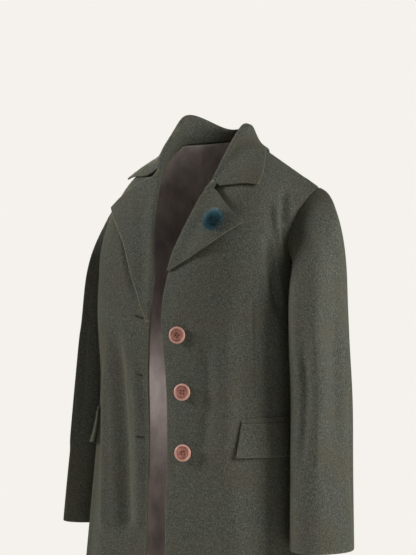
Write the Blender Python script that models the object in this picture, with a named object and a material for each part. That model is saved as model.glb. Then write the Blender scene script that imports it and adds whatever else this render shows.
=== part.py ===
# A woman's single-breasted wool coat, worn open and hollow.
# The front faces -Y, up is +Z and the wearer's left is +X. Sizes are in metres.
# The origin is in the middle of the neck opening, a little below the neck ends of the shoulder seams.
# Each panel is a grid of rows (down the cloth) and columns (across it), given a thickness inwards.

import math

import bmesh
import bpy
import numpy as np
from mathutils import Matrix, Vector
from mathutils.bvhtree import BVHTree

# Cloth
COAT_WALL = 0.0022          # one layer of felted wool
TURNED_WALL = 0.0034        # collar, lapel and flap: cloth turned on itself
LINING_WALL = 0.0010
LAYER_GAP = 0.0007          # between a panel and the layer inside it
SEAM_GAP = 0.0004           # between two panels that are sewn edge to edge

# Body
NECK_HALF = 0.078           # neck end of the shoulder seam, from the centre
NECK_Y = 0.012
NECK_Z = 0.028
TIP_X = 0.218               # sleeve end of the shoulder seam
TIP_Y = 0.016
TIP_Z = -0.065
NAPE_Y = 0.074
NAPE_Z = 0.036
UNDERARM_Z = -0.225
HEM_Z = -1.000

# The shell below the underarm: half width at the side seam, and where that seam,
# the front and the back stand
BODY = [
    # z,          half,   side_y, front_y, back_y
    (UNDERARM_Z,  0.193,  0.018,  -0.146,  0.118),
    (-0.300,      0.194,  0.016,  -0.154,  0.115),
    (-0.410,      0.184,  0.012,  -0.148,  0.098),
    (-0.500,      0.190,  0.010,  -0.152,  0.108),
    (-0.620,      0.200,  0.008,  -0.160,  0.128),
    (-0.800,      0.218,  0.006,  -0.168,  0.142),
    (HEM_Z,       0.238,  0.004,  -0.176,  0.154),
]

# How far each front edge hangs from the centre line (left is the wearer's left, +X)
FRONT_EDGE = {
    "left": [
        # z,         x
        (UNDERARM_Z, 0.006),
        (-0.262,     -0.003),
        (-0.300,     0.000),
        (-0.370,     0.006),
        (-0.420,     0.009),
        (-0.510,     0.0136),
        (-0.620,     0.016),
        (HEM_Z,      0.018),
    ],
    "right": [
        (UNDERARM_Z, 0.021),
        (-0.300,     0.0225),
        (-0.420,     0.033),
        (-0.510,     0.026),
        (-0.620,     0.024),
        (HEM_Z,      0.028),
    ],
}
# How square each front turns towards its side seam: the reach of the curve's two handles
FULLNESS = {"left": (0.62, 0.64), "right": (0.92, 0.90)}
# The wearer's right front is pulled open, so it hangs this much higher at its edge
RIGHT_HIKE = 0.027

# Where the columns that rise from the underarm ring start and arrive, as handles of a curve:
# across is 0 at the front edge (or centre back) and 1 at the armhole
FRONT_RISE = {
    "left": [
        # across, start x, start y, start z, end x,  end y,  end z
        (0.00,    0.027,   0.004,   0.070,   0.005,  -0.072, -0.030),
        (0.35,    0.012,   -0.002,  0.075,   0.002,  -0.082, -0.018),
        (0.70,    0.002,   -0.004,  0.070,   -0.010, -0.066, -0.022),
        (1.00,    -0.030,  -0.062,  0.040,   -0.026, -0.050, -0.040),
    ],
    "right": [
        (0.00,    0.022,   0.004,   0.070,   -0.012, -0.072, -0.030),
        (0.35,    0.012,   -0.002,  0.075,   0.000,  -0.082, -0.018),
        (0.70,    0.002,   -0.004,  0.070,   -0.010, -0.066, -0.022),
        (1.00,    -0.030,  -0.062,  0.040,   -0.026, -0.050, -0.040),
    ],
}
BACK_RISE = [
    (0.00,    0.000,   0.004,   0.085,   0.000,  0.020,  -0.060),
    (0.38,    0.000,   0.004,   0.080,   0.000,  0.062,  -0.018),
    (0.70,    0.000,   0.002,   0.070,   -0.006, 0.062,  -0.016),
    (1.00,    -0.022,  0.050,   0.040,   -0.020, 0.044,  -0.036),
]
NECK_SHARE = 0.38           # share of the half back that the neckline takes

# Grid sizes
FRONT_COLUMNS = 13
BACK_COLUMNS = 16
UPPER_ROWS = 9              # above the underarm ring
LOWER_LEVELS = 13           # rows below it
FACING_COLUMNS = 3          # columns of a front that its facing backs

# Soft vertical folds, pushed in (-) or out (+) along the cloth's normal. across is the place
# between the front edge (0) and the side seam (1); for the back, between the left seam (0) and
# the right one (1). lean is how far a fold moves across on its way down, and spread its half width
FOLDS = {
    "left": [
        # across, lean,   spread, z top,  z bottom, depth
        (0.22,    0.03,   0.10,   -0.36,  HEM_Z,    -0.0040),
        (0.44,    0.00,   0.09,   -0.30,  HEM_Z,    0.0045),
        (0.70,    -0.04,  0.10,   -0.40,  HEM_Z,    -0.0060),
        (0.90,    0.00,   0.08,   -0.46,  HEM_Z,    0.0050),
        (0.80,    0.08,   0.080,  -0.085, -0.34,    -0.0080),
        (0.64,    0.06,   0.060,  -0.110, -0.30,    0.0050),
    ],
    "right": [
        (0.20,    0.00,   0.10,   -0.30,  HEM_Z,    0.0050),
        (0.42,    0.02,   0.10,   -0.32,  HEM_Z,    -0.0085),
        (0.66,    0.00,   0.10,   -0.30,  HEM_Z,    0.0060),
        (0.86,    0.02,   0.09,   -0.42,  HEM_Z,    -0.0060),
        (0.78,    0.06,   0.080,  -0.085, -0.32,    -0.0070),
    ],
    "back": [
        (0.16,    0.00,   0.06,   -0.40,  HEM_Z,    -0.0080),
        (0.30,    0.02,   0.06,   -0.34,  HEM_Z,    0.0080),
        (0.44,    0.00,   0.06,   -0.42,  HEM_Z,    -0.0070),
        (0.58,    -0.01,  0.06,   -0.36,  HEM_Z,    0.0075),
        (0.72,    0.00,   0.06,   -0.40,  HEM_Z,    -0.0085),
        (0.86,    0.01,   0.05,   -0.46,  HEM_Z,    0.0070),
    ],
}
FOLD_FADE = 0.075           # length over which a fold grows from nothing

# Front dart: a stitched valley from under the bust to the pocket
DART_ACROSS = 0.52
DART_TOP = -0.262
DART_DEPTH = 0.0016
DART_SPREAD = 0.05
DART_FADE = 0.05

CUFF_Z = -0.682

# Sleeves: level rings below the cap. out and y are the ring's middle
SLEEVE = {
    "left": [
        # z,      out,    y,       half across, half front to back
        (-0.268,  0.2440, -0.028,  0.0470,      0.0620),
        (-0.330,  0.2460, -0.028,  0.0480,      0.0630),
        (-0.430,  0.2490, -0.024,  0.0495,      0.0640),
        (-0.540,  0.2530, -0.030,  0.0505,      0.0650),
        (CUFF_Z,  0.2580, -0.036,  0.0520,      0.0660),
    ],
    "right": [
        (-0.268,  0.2460, 0.008,   0.0470,      0.0600),
        (-0.350,  0.2520, 0.004,   0.0480,      0.0610),
        (-0.500,  0.2640, -0.004,  0.0480,      0.0600),
        (CUFF_Z,  0.2810, -0.012,  0.0490,      0.0590),
    ],
}
SLEEVE_RINGS = 12
CAP_ROWS = 5
CAP_OUT = 0.026             # how far the sleeve head runs out before it falls
# Creases of a sleeve, by angle round it in degrees (0 is outwards, 90 is forwards)
SLEEVE_FOLDS = [
    # angle, turn,  spread, z top,  z bottom, depth
    (58,     26,    17,     -0.13,  CUFF_Z,   0.0045),
    (88,     18,    15,     -0.16,  -0.600,   -0.0045),
    (24,     20,    16,     -0.18,  -0.600,   -0.0045),
    (-8,     14,    16,     -0.22,  CUFF_Z,   0.0035),
    (-60,    10,    20,     -0.16,  CUFF_Z,   -0.0045),
]

# Lapels: the roll line ends at roll_z on the front edge. notch and point are places on the
# front panel, as across and height: the foot of the notch and the lapel's tip
GORGE_Z = -0.066
LAPEL = {
    "left": {"roll_z": -0.209, "notch": (0.075, -0.072), "point": (0.425, -0.131)},
    "right": {"roll_z": -0.325, "notch": (0.120, -0.076), "point": (0.370, -0.113)},
}
# How the lapel narrows from its point to the foot of the roll, as shares of the width at the point
LAPEL_EDGE = {
    "left": [
        # way down, width
        (0.00,      1.00),
        (0.20,      0.77),
        (0.45,      0.53),
        (0.68,      0.32),
        (0.90,      0.12),
        (1.00,      0.03),
    ],
    "right": [
        (0.00,      1.00),
        (0.13,      0.68),
        (0.32,      0.40),
        (0.58,      0.28),
        (0.76,      0.16),
        (0.90,      0.08),
        (1.00,      0.03),
    ],
}
GORGE_GAP = 0.0048          # between the collar's end and the lapel's top
LAPEL_COLUMNS = 6
LAPEL_ROWS = 11
ROLL_HEIGHT = 0.0095        # height of the roll above the panel
ROLL_ARC = 4                # columns of the roll itself, round the front edge
ROLL_CLEAR = 0.0026         # between the front edge and the turn of the cloth
ROLL_WIDTH = 0.020          # distance over which the turned cloth comes down to the panel
REST_GAP = 0.0009           # between turned cloth and the panel that it lies on
ROLL_FALL = 0.40            # how much lower the roll is at its foot, as a share

# Places tested in a cell of cloth, as shares of its four corners
CELL_TESTS = [
    (1, 0, 0, 0), (0, 1, 0, 0), (0, 0, 1, 0), (0, 0, 0, 1),
    (0.5, 0.5, 0, 0), (0, 0.5, 0.5, 0), (0, 0, 0.5, 0.5), (0.5, 0, 0, 0.5), (0.5, 0, 0.5, 0),
]

# Collar: from the end of one gorge, round the neck, to the other
COLLAR_STATIONS = 10        # for half the collar
COLLAR_RAISE = 0.027        # how much higher its right half is pulled
COLLAR_SEAM_SPLIT = 0.45    # where the collar seam passes the shoulder seam
COLLAR = [
    # turn is 0 at centre back and 1 at the gorge; fold is the highest line, edge the outer one,
    # which then comes down to rest on the cloth
    # turn, fold x, y,       z,       edge x, y,      z
    (0.00,  0.000,  0.0700,  0.0570,  0.000,  0.1080, -0.0140),
    (0.22,  0.038,  0.0580,  0.0590,  0.060,  0.0920, -0.0120),
    (0.45,  0.0650, 0.0140,  0.0600,  0.108,  0.0140, 0.0060),
    (0.66,  0.0660, -0.026,  0.0220,  0.126,  -0.014, -0.0180),
    (0.85,  0.0680, -0.060,  -0.016,  0.141,  -0.042, -0.0450),
    (1.00,  0.0630, -0.0800, -0.050,  0.147,  -0.066, -0.0615),
]
COLLAR_SIT = 0.0012         # height of the collar's foot above the seam that it is sewn to
STAND_ROWS = 2
ROLL_ROWS = 4
FALL_ROWS = 4
ROLL_RADIUS = 0.0062

# Pockets: a flap under a welt on each front
FLAP_ACROSS = (0.500, 0.880)
FLAP_TOP = -0.471
FLAP_DEPTH = 0.058
FLAP_SLANT = 0.040          # how far the front corner reaches past the top, as a share across
FLAP_STAND = {"left": 0.0045, "right": 0.0090}  # how far the lower edge stands off
FLAP_COLUMNS = 6
FLAP_ROWS = 3
WELT_HEIGHT = 0.0085
WELT_DIP = 0.004            # how far the welt's front end dips

# Buttons, on the wearer's left front
BUTTON_Z = (-0.321, -0.419, -0.523)
BUTTON_INSET = 0.037        # centre to the front edge
BUTTON_RADIUS = 0.0148
BUTTON_THICK = 0.0042
BUTTON_LIFT = 0.0024        # height of the thread foot
BUTTON_THREAD = 0.0042      # radius of the thread foot that it stands on
BUTTON_HOLE = 0.0011
BUTTON_HOLE_RING = 0.0030
BUTTON_SIDES = 20
BUTTON_STEP = 0.05          # step across the front by which the inset is measured
DRILL_DEPTH = 0.0042
DRILL_HEIGHT = 0.0031       # middle of the drill above the button's underside
DRILL_SIDES = 8
# The button from its underside, over the rim and down to the dished face
BUTTON_PROFILE = [
    # share of the radius, share of the thickness
    (0.80, 0.00),
    (1.00, 0.30),
    (1.00, 0.70),
    (0.95, 0.95),
    (0.86, 1.00),
    (0.78, 0.84),
    (0.68, 0.70),
    (0.45, 0.66),
    (0.00, 0.66),
]

# Brooch: a dome of dyed hair on a small plate, pinned to the wearer's left lapel
BROOCH_PLACE = (0.205, -0.129)
BROOCH_CORE = 0.0105
BROOCH_HAIR = 0.0175
BROOCH_PLATE = 0.0020
BROOCH_RISE = 0.0080        # height of the dome
BROOCH_DETAIL = 3           # how finely the dome is divided, with one strand a face
BROOCH_ROOT = 0.030         # inset of a strand's root in its face, as a share of the core
BROOCH_FOCUS = 0.45         # depth that the strands spread from, as a share of the core
BROOCH_UNEVEN = 0.20        # unevenness of the strands' lengths and directions, as a share

FINISHES = {
    # colour, roughness
    "wool": ((0.050, 0.052, 0.043), 0.9),
    "lining": ((0.16, 0.125, 0.12), 0.5),
    "button": ((0.33, 0.13, 0.10), 0.35),
    "brooch": ((0.02, 0.07, 0.09), 0.9),
}


def smooth(t):
    return t * t * (3 - 2 * t)


def eased(t):
    """Smooth from 0 to 1, and level outside."""
    return smooth(min(1.0, max(0.0, t)))


def table_at(table, key):
    """The other columns of a table at a value of its first one, on a smooth monotone curve."""
    rows = sorted(table)
    keys = np.array([row[0] for row in rows])
    values = np.array([row[1:] for row in rows])
    key = min(max(key, keys[0]), keys[-1])
    i = int(min(np.searchsorted(keys, key, side="right") - 1, len(keys) - 2))
    steps = np.diff(keys)[:, None]
    slopes = np.diff(values, axis=0) / steps
    bends = np.vstack([slopes[:1], (slopes[:-1] + slopes[1:]) / 2, slopes[-1:]])
    flat = np.vstack([slopes[:1] * 0, slopes[:-1] * slopes[1:] <= 0, slopes[-1:] * 0])
    bends = np.where(flat.astype(bool), 0.0, bends)
    h = steps[i, 0]
    t = (key - keys[i]) / h
    return (
        values[i] * (1 + 2 * t) * (1 - t) ** 2
        + bends[i] * h * t * (1 - t) ** 2
        + values[i + 1] * t * t * (3 - 2 * t)
        + bends[i + 1] * h * t * t * (t - 1)
    )


def bezier(a, b, c, d, t):
    s = 1 - t
    return a * s**3 + 3 * b * s * s * t + 3 * c * s * t * t + d * t**3


def unit(v):
    return v / np.maximum(np.linalg.norm(v, axis=-1, keepdims=True), 1e-12)


def front_ring(side, across, z):
    """A point of the front at height z, between its edge (0) and the side seam (1).
    Both fronts are worked out on the +X side, and the wearer's right is mirrored at the end."""
    half, side_y, front_y, _ = table_at(BODY, z)
    start = np.array([table_at(FRONT_EDGE[side], z)[0], front_y + 0.003, z])
    end = np.array([half, side_y, z])
    forward_share, side_share = FULLNESS[side]
    forward = np.array([forward_share * (half - start[0]), -0.004, 0])
    outward = np.array([0, -side_share * (side_y - front_y), 0])
    return bezier(start, start + forward, end + outward, end, across)


def back_ring(across, z):
    """A point of the back at height z, between centre back (0) and the side seam (1)."""
    half, side_y, _, back_y = table_at(BODY, z)
    start = np.array([0, back_y, z])
    end = np.array([half, side_y, z])
    inward = np.array([0, 0.58 * (back_y - side_y), 0])
    return bezier(start, start + [0.60 * half, 0, 0], end + inward, end, across)


def shoulder(share):
    """A point of the shoulder seam, between the neck (0) and the sleeve (1)."""
    neck = np.array([NECK_HALF, NECK_Y, NECK_Z])
    tip = np.array([TIP_X, TIP_Y, TIP_Z])
    return neck + (tip - neck) * share


def back_top(across):
    """The back's top edge: half the neckline, then the shoulder seam."""
    if across >= NECK_SHARE:
        return shoulder((across - NECK_SHARE) / (1 - NECK_SHARE))
    turn = (1 - across / NECK_SHARE) * math.pi / 2
    out, up = math.cos(turn), math.sin(turn)
    return np.array([NECK_HALF * out, NECK_Y + (NAPE_Y - NECK_Y) * up, NECK_Z + (NAPE_Z - NECK_Z) * up])


def riser(low, top, rise, across, up):
    handles = table_at(rise, across)
    return bezier(low, low + handles[:3], top + handles[3:], top, up)


def front_plain(side, across, height):
    """A point of a front before its folds. height is z at and below the underarm ring, and above
    it a share from 0 at that ring to 1 at the shoulder seam."""
    if height <= 0:
        return front_ring(side, across, height)
    low = front_ring(side, across, UNDERARM_Z)
    return riser(low, shoulder(across), FRONT_RISE[side], across, height)


def back_plain(across, height):
    """A point of the back before its folds, between the left seam (1) and the right one (-1)."""
    half = abs(across)
    if height <= 0:
        place = back_ring(half, height)
    else:
        place = riser(back_ring(half, UNDERARM_Z), back_top(half), BACK_RISE, half, height)
    return place * [math.copysign(1, across), 1, 1]


def fold_depth(folds, across, z):
    """How far the folds push the cloth out at a place."""
    total = 0.0
    for centre, lean, spread, top, bottom, depth in folds:
        along = (top - z) / (top - bottom)
        fade = eased((top - z) / FOLD_FADE)
        if bottom > HEM_Z:
            fade *= eased((z - bottom) / FOLD_FADE)
        else:
            fade *= 0.55 + 0.45 * min(1.0, along)
        away = (across - centre - lean * along) / spread
        total += depth * fade * math.exp(-1.6 * away * away)
    return total


def dart_depth(across, z):
    ends = min(DART_TOP - z, z - FLAP_TOP) / DART_FADE
    away = (across - DART_ACROSS) / DART_SPREAD
    return -DART_DEPTH * eased(ends) * math.exp(-away * away)


def seam_fade(across):
    """Folds are still at a side seam and at an armhole, where the panels are sewn together."""
    return eased((1 - abs(across)) / 0.10)


def hike(side, across, z):
    """How much higher the pulled-open front hangs."""
    if side == "left":
        return 0.0
    return RIGHT_HIKE * eased((NECK_Z - z) / 0.10) * (1 - eased(across / 0.95))


def across_and_down(point_at, across, height):
    """The surface's directions at a place, by small differences."""
    a = 0.002 if across < 0.5 else -0.002
    h = 0.002 if height < 0.5 else -0.002
    here = point_at(across, height)
    return (point_at(across + a, height) - here) / a, -(point_at(across, height + h) - here) / h


def front_cloth(side, across, height):
    """A point of a front with its folds, on the +X side."""
    def plain(a, h):
        return front_plain(side, a, h)
    place = plain(across, height)
    turned, down = across_and_down(plain, across, height)
    out = unit(np.cross(down, turned))
    push = fold_depth(FOLDS[side], across, place[2]) + dart_depth(across, place[2])
    push *= seam_fade(across) * (eased((1 - height) * 3) if height > 0 else 1)
    return place + out * push + [0, 0, hike(side, across, place[2])], out


def share_at(side, across, z):
    """The height, as front_cloth takes it, of a place at z."""
    if z <= UNDERARM_Z:
        return z
    low, high = 1e-6, 1.0
    for _ in range(24):
        middle = (low + high) / 2
        if front_plain(side, across, middle)[2] < z:
            low = middle
        else:
            high = middle
    return middle


def on_front(side, across, z):
    """A point of a front at a height z, and the direction out of the cloth there, placed on the
    wearer's own side."""
    place, out = front_cloth(side, across, share_at(side, across, z))
    flip = np.array([1, 1, 1]) if side == "left" else np.array([-1, 1, 1])
    return place * flip, out * flip


def panel_rows():
    """The rows of a panel from the shoulder down: shares above the underarm, then heights."""
    upper = [1 - i / UPPER_ROWS for i in range(UPPER_ROWS)]
    step = (HEM_Z - UNDERARM_Z) / LOWER_LEVELS
    return upper + [UNDERARM_Z + step * i for i in range(LOWER_LEVELS + 1)]


def front_surface(side):
    """The outer surface of a front as a grid, mirrored for the wearer's right."""
    places = [i / FRONT_COLUMNS for i in range(FRONT_COLUMNS + 1)]
    grid = np.array([[front_cloth(side, a, h)[0] for a in places] for h in panel_rows()])
    return grid if side == "left" else (grid * [-1, 1, 1])[:, ::-1]


def back_surface():
    """The outer surface of the back, from the left side seam to the right one."""
    places = [1 - 2 * i / BACK_COLUMNS for i in range(BACK_COLUMNS + 1)]
    grid = np.array([[back_plain(a, h) for a in places] for h in panel_rows()])
    normals = grid_normals(grid)
    for i, j in np.ndindex(grid.shape[:2]):
        push = fold_depth(FOLDS["back"], (1 - places[j]) / 2, grid[i, j, 2])
        grid[i, j] += normals[i, j] * push * seam_fade(places[j])
    return grid


def grid_normals(grid, closed=False):
    """Outward normals of a grid whose rows run down and whose columns run anticlockwise
    as seen from above."""
    if closed:
        across = np.roll(grid, -1, axis=1) - np.roll(grid, 1, axis=1)
    else:
        across = np.gradient(grid, axis=1)
    return unit(np.cross(np.gradient(grid, axis=0), across))


def pull_edge(grid, axis, index, gap):
    """Draws one edge of a grid back by gap, so that a seam stays open."""
    edge = np.take(grid, index, axis)
    near = np.take(grid, index + 1 if index == 0 else index - 1, axis)
    moved = edge + unit(near - edge) * gap
    if axis == 0:
        grid[index] = moved
    else:
        grid[:, index] = moved


def body_panels():
    """The three panels of the body: outer grids, and normals that agree at their seams."""
    grids = {"left": front_surface("left"), "back": back_surface(), "right": front_surface("right")}
    normals = {name: grid_normals(grid) for name, grid in grids.items()}
    for front, front_column, back_column in (("left", -1, 0), ("right", 0, -1)):
        below = slice(UPPER_ROWS, None)
        both = normals[front][below, front_column] + normals["back"][below, back_column]
        normals[front][below, front_column] = unit(both)
        normals["back"][below, back_column] = unit(both)
    seam = unit(np.array([NECK_Z - TIP_Z, 0, TIP_X - NECK_HALF]))
    normals["left"][0] = seam
    normals["right"][0] = seam * [-1, 1, 1]
    for j in range(BACK_COLUMNS + 1):
        across = 1 - 2 * j / BACK_COLUMNS
        if abs(across) >= NECK_SHARE:
            normals["back"][0, j] = seam * [math.copysign(1, across), 1, 1]
    edges = {"left": (-1,), "back": (0, -1), "right": (0,)}
    for name, grid in grids.items():
        for edge in edges[name]:
            pull_edge(grid, 1, edge, SEAM_GAP / 2)
        pull_edge(grid, 0, 0, SEAM_GAP / 2)
    return grids, normals


def material(name):
    if name in bpy.data.materials:
        return bpy.data.materials[name]
    made = bpy.data.materials.new(name)
    made.use_nodes = True
    shader = made.node_tree.nodes["Principled BSDF"]
    colour, roughness = FINISHES[name]
    shader.inputs["Base Color"].default_value = (*colour, 1)
    shader.inputs["Roughness"].default_value = roughness
    return made


def keep(name, shape, finish):
    """Turns a bmesh into a named object."""
    mesh = bpy.data.meshes.new(name)
    shape.to_mesh(mesh)
    shape.free()
    mesh.shade_smooth()
    mesh.set_sharp_from_angle(angle=math.radians(45))
    made = bpy.data.objects.new(name, mesh)
    bpy.context.scene.collection.objects.link(made)
    made.data.materials.append(material(finish))
    return made


def cloth_wall(name, outer, inner, finish, closed=False):
    """A closed wall between two grids of points of one layout. Both faces are cut along the same
    diagonals, so that layers made from one panel nest."""
    shape = bmesh.new()
    rows, columns = outer.shape[:2]
    skin = [[shape.verts.new(p) for p in row] for row in outer]
    back = [[shape.verts.new(p) for p in row] for row in inner]
    spans = columns if closed else columns - 1
    for i in range(rows - 1):
        for j in range(spans):
            k = (j + 1) % columns
            shape.faces.new((skin[i][j], skin[i + 1][j], skin[i + 1][k]))
            shape.faces.new((skin[i][j], skin[i + 1][k], skin[i][k]))
            shape.faces.new((back[i][j], back[i + 1][k], back[i + 1][j]))
            shape.faces.new((back[i][j], back[i][k], back[i + 1][k]))
    for j in range(spans):
        k = (j + 1) % columns
        shape.faces.new((skin[0][j], skin[0][k], back[0][k], back[0][j]))
        shape.faces.new((skin[-1][k], skin[-1][j], back[-1][j], back[-1][k]))
    if not closed:
        for i in range(rows - 1):
            shape.faces.new((skin[i + 1][0], skin[i][0], back[i][0], back[i + 1][0]))
            shape.faces.new((skin[i][-1], skin[i + 1][-1], back[i + 1][-1], back[i][-1]))
    bmesh.ops.recalc_face_normals(shape, faces=shape.faces)
    return keep(name, shape, finish)


def layer(name, grid, normals, finish, depth, wall):
    """A wall of cloth whose outer face lies depth inside the grid."""
    outer = grid - normals * depth
    return cloth_wall(name, outer, outer - normals * wall, finish)


def build_body(grids, normals):
    """The three panels, with a facing and a lining inside them."""
    inside = COAT_WALL + LAYER_GAP
    above_hem = slice(0, -1)
    for side in ("left", "right"):
        grid, out = grids[side], normals[side]
        layer(side + "_front", grid, out, "wool", 0, COAT_WALL)
        facing = slice(0, FACING_COLUMNS + 1) if side == "left" else slice(-FACING_COLUMNS - 1, None)
        lining = slice(FACING_COLUMNS, None) if side == "left" else slice(0, -FACING_COLUMNS)
        strip, body = grid[:, facing].copy(), grid[:, lining].copy()
        pull_edge(strip, 1, -1 if side == "left" else 0, SEAM_GAP / 2)
        pull_edge(body, 1, 0 if side == "left" else -1, SEAM_GAP / 2)
        layer(side + "_facing", strip, out[:, facing], "wool", inside, COAT_WALL)
        rest = body[above_hem]
        layer(side + "_front_lining", rest, out[above_hem, lining], "lining", inside, LINING_WALL)
    layer("back", grids["back"], normals["back"], "wool", 0, COAT_WALL)
    layer(
        "back_lining", grids["back"][above_hem], normals["back"][above_hem], "lining",
        inside, LINING_WALL,
    )


def armhole(grids, normals, side):
    """The armhole's points anticlockwise from the shoulder tip, on the +X side, with the
    directions out of the panels there."""
    flip = np.array([1, 1, 1]) if side == "left" else np.array([-1, 1, 1])
    front_column, back_column = (-1, 0) if side == "left" else (0, -1)
    points, outs = [], []
    for name, column, rows in (
        ("back", back_column, range(UPPER_ROWS)),
        (side, front_column, range(UPPER_ROWS, 0, -1)),
    ):
        points += [grids[name][i, column] * flip for i in rows]
        outs += [normals[name][i, column] * flip for i in rows]
    return np.array(points), np.array(outs)


def sleeve_ring(side, z, count):
    """A level ring of a sleeve with its creases, anticlockwise from its outer side."""
    out, y, half_across, half_deep = table_at(SLEEVE[side], z)
    ring = []
    for m in range(count):
        angle = 2 * math.pi * m / count
        away = np.array([math.cos(angle), math.sin(angle), 0])
        forward_angle = -math.degrees(angle)
        push = 0.0
        for centre, turn, spread, top, bottom, depth in SLEEVE_FOLDS:
            along = min(1.0, max(0.0, (top - z) / (top - bottom)))
            fade = eased((top - z) / FOLD_FADE)
            if bottom > CUFF_Z:
                fade *= eased((z - bottom) / FOLD_FADE)
            off = (forward_angle - centre - turn * (along - 0.5) + 180) % 360 - 180
            push += depth * fade * math.exp(-1.6 * (off / spread) ** 2)
        ring.append([out, y, z] + away * [half_across + push, half_deep + push, 0])
    return np.array(ring)


def build_sleeve(grids, normals, side):
    """An empty sleeve: a cap that runs out of the armhole, then level rings down to the cuff."""
    start, panel_out = armhole(grids, normals, side)
    count = len(start)
    top_z = SLEEVE[side][0][0]
    first = sleeve_ring(side, top_z, count)
    angles = 2 * np.pi * np.arange(count) / count
    high = (1 + np.cos(angles)) / 2
    reach = (0.010 + CAP_OUT * high)[:, None]
    leave = np.stack([np.ones(count), 0.35 * np.sin(angles), -0.10 - 0.15 * (1 - high)], 1) * reach
    arrive = np.stack([0 * angles, 0 * angles, 0.68 * (start[:, 2] - top_z)], 1)
    start = start + unit(leave) * SEAM_GAP
    grid = [bezier(start, start + leave, first + arrive, first, i / CAP_ROWS) for i in range(CAP_ROWS)]
    step = (CUFF_Z - top_z) / SLEEVE_RINGS
    grid += [sleeve_ring(side, top_z + step * i, count) for i in range(SLEEVE_RINGS + 1)]
    grid = np.array(grid)
    out = grid_normals(grid, closed=True)
    out[0] = unit(out[0] * (1 - high)[:, None] + panel_out * high[:, None])
    inner = grid - out * COAT_WALL
    if side == "right":
        flip = np.array([-1, 1, 1])
        grid, inner = (grid * flip)[:, ::-1], (inner * flip)[:, ::-1]
    cloth_wall(side + "_sleeve", grid, inner, "wool", closed=True)


def surface_of(*grids):
    """A search tree over the outer faces of some panels."""
    points, faces = [], []
    for grid in grids:
        first = len(points)
        rows, columns = grid.shape[:2]
        points += [Vector(p) for p in grid.reshape(-1, 3)]
        for i, j in np.ndindex(rows - 1, columns - 1):
            a = first + i * columns + j
            faces += [(a, a + columns, a + columns + 1), (a, a + columns + 1, a + 1)]
    return BVHTree.FromPolygons(points, faces)


def shortfall(tree, point, gap):
    """How a point has to move to lie gap above the cloth near it."""
    near, out, _, _ = tree.find_nearest(Vector(point))
    return np.array(out) * max(0.0, 1.2 * (gap - (Vector(point) - near).dot(out)))


def cleared(tree, grid, wall, rows, columns):
    """A grid whose wall keeps REST_GAP to the cloth under it, tested at the corners, the edges
    and the middle of each of its cells, in these rows and columns."""
    grid = grid.copy()
    for _ in range(12):
        inner = grid - grid_normals(grid) * wall
        moves = np.zeros_like(grid)
        for i in rows:
            for j in columns:
                cell = [(i, j), (i + 1, j), (i + 1, j + 1), (i, j + 1)]
                for shares in CELL_TESTS:
                    spot = sum(share * inner[at] for share, at in zip(shares, cell))
                    move = shortfall(tree, spot, REST_GAP)
                    for share, at in zip(shares, cell):
                        if share and np.linalg.norm(move) > np.linalg.norm(moves[at]):
                            moves[at] = move
        grid += moves
    return grid


def settled(tree, point, gap):
    """The point, brought down or up to lie gap above the nearest cloth."""
    near, out, _, _ = tree.find_nearest(Vector(point))
    return np.array(near + out * gap)


def build_collar(tree):
    """A turned-down collar in one strip: a stand, a roll and a fall."""
    stations = []
    for i in range(2 * COLLAR_STATIONS + 1):
        turn = 1 - i / COLLAR_STATIONS
        stations.append((abs(turn), 1 if turn >= 0 else -1))
    grid = []
    for turn, hand in stations:
        side = "left" if hand > 0 else "right"
        up = np.array([0, 0, 1.0])
        if turn <= COLLAR_SEAM_SPLIT:
            seam = back_top(NECK_SHARE * turn / COLLAR_SEAM_SPLIT) + up * COLLAR_SIT
        else:
            down = (turn - COLLAR_SEAM_SPLIT) / (1 - COLLAR_SEAM_SPLIT)
            height = 1 + (share_at(side, 0.0, GORGE_Z) - 1) * down
            seam, out = front_cloth(side, 0.0, height)
            seam = seam + unit(up * (1 - down) + out * down) * COLLAR_SIT * (1 + 2 * down)
        row = table_at(COLLAR, turn)
        raised = 0.0 if side == "left" else COLLAR_RAISE * eased(turn / COLLAR_SEAM_SPLIT)
        fold, edge = row[:3] + [0, 0, raised], row[3:] + [0, 0, raised]
        edge = settled(tree, edge * [hand, 1, 1], TURNED_WALL + REST_GAP) * [hand, 1, 1]
        aside = unit((edge - fold) * [1, 1, 0])
        centre = fold - up * ROLL_RADIUS
        inner, outer = centre - aside * ROLL_RADIUS, centre + aside * ROLL_RADIUS
        seam = seam - aside * (TURNED_WALL + REST_GAP)
        rise = up * 0.4 * max(0.004, inner[2] - seam[2])
        path = [bezier(seam, seam + rise, inner - rise, inner, k / STAND_ROWS) for k in range(STAND_ROWS)]
        for k in range(ROLL_ROWS):
            angle = math.pi * k / ROLL_ROWS
            path.append(centre - aside * ROLL_RADIUS * math.cos(angle) + up * ROLL_RADIUS * math.sin(angle))
        drop = np.linalg.norm(edge - outer)
        fall_a, fall_b = outer - up * 0.35 * drop, edge - aside * 0.30 * drop + up * 0.10 * drop
        path += [bezier(outer, fall_a, fall_b, edge, k / FALL_ROWS) for k in range(FALL_ROWS + 1)]
        path = [p * [hand, 1, 1] for p in path]
        grid.append(path)
    grid = np.array(grid).transpose(1, 0, 2)
    fall = range(STAND_ROWS + ROLL_ROWS, grid.shape[0] - 1)
    grid = cleared(tree, grid, TURNED_WALL, fall, range(grid.shape[1] - 1))
    return grid, grid_normals(grid)


def roll_arc(edge, out, beyond, high):
    """The turn of the cloth from the front's edge up to the top of the roll."""
    radius = (high + COAT_WALL) / 2
    middle = edge + out * (high - radius)
    angles = [-math.pi / 2 + math.pi * k / ROLL_ARC for k in range(ROLL_ARC)]
    return [middle + radius * (beyond * math.cos(a) + out * math.sin(a)) for a in angles]


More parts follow.
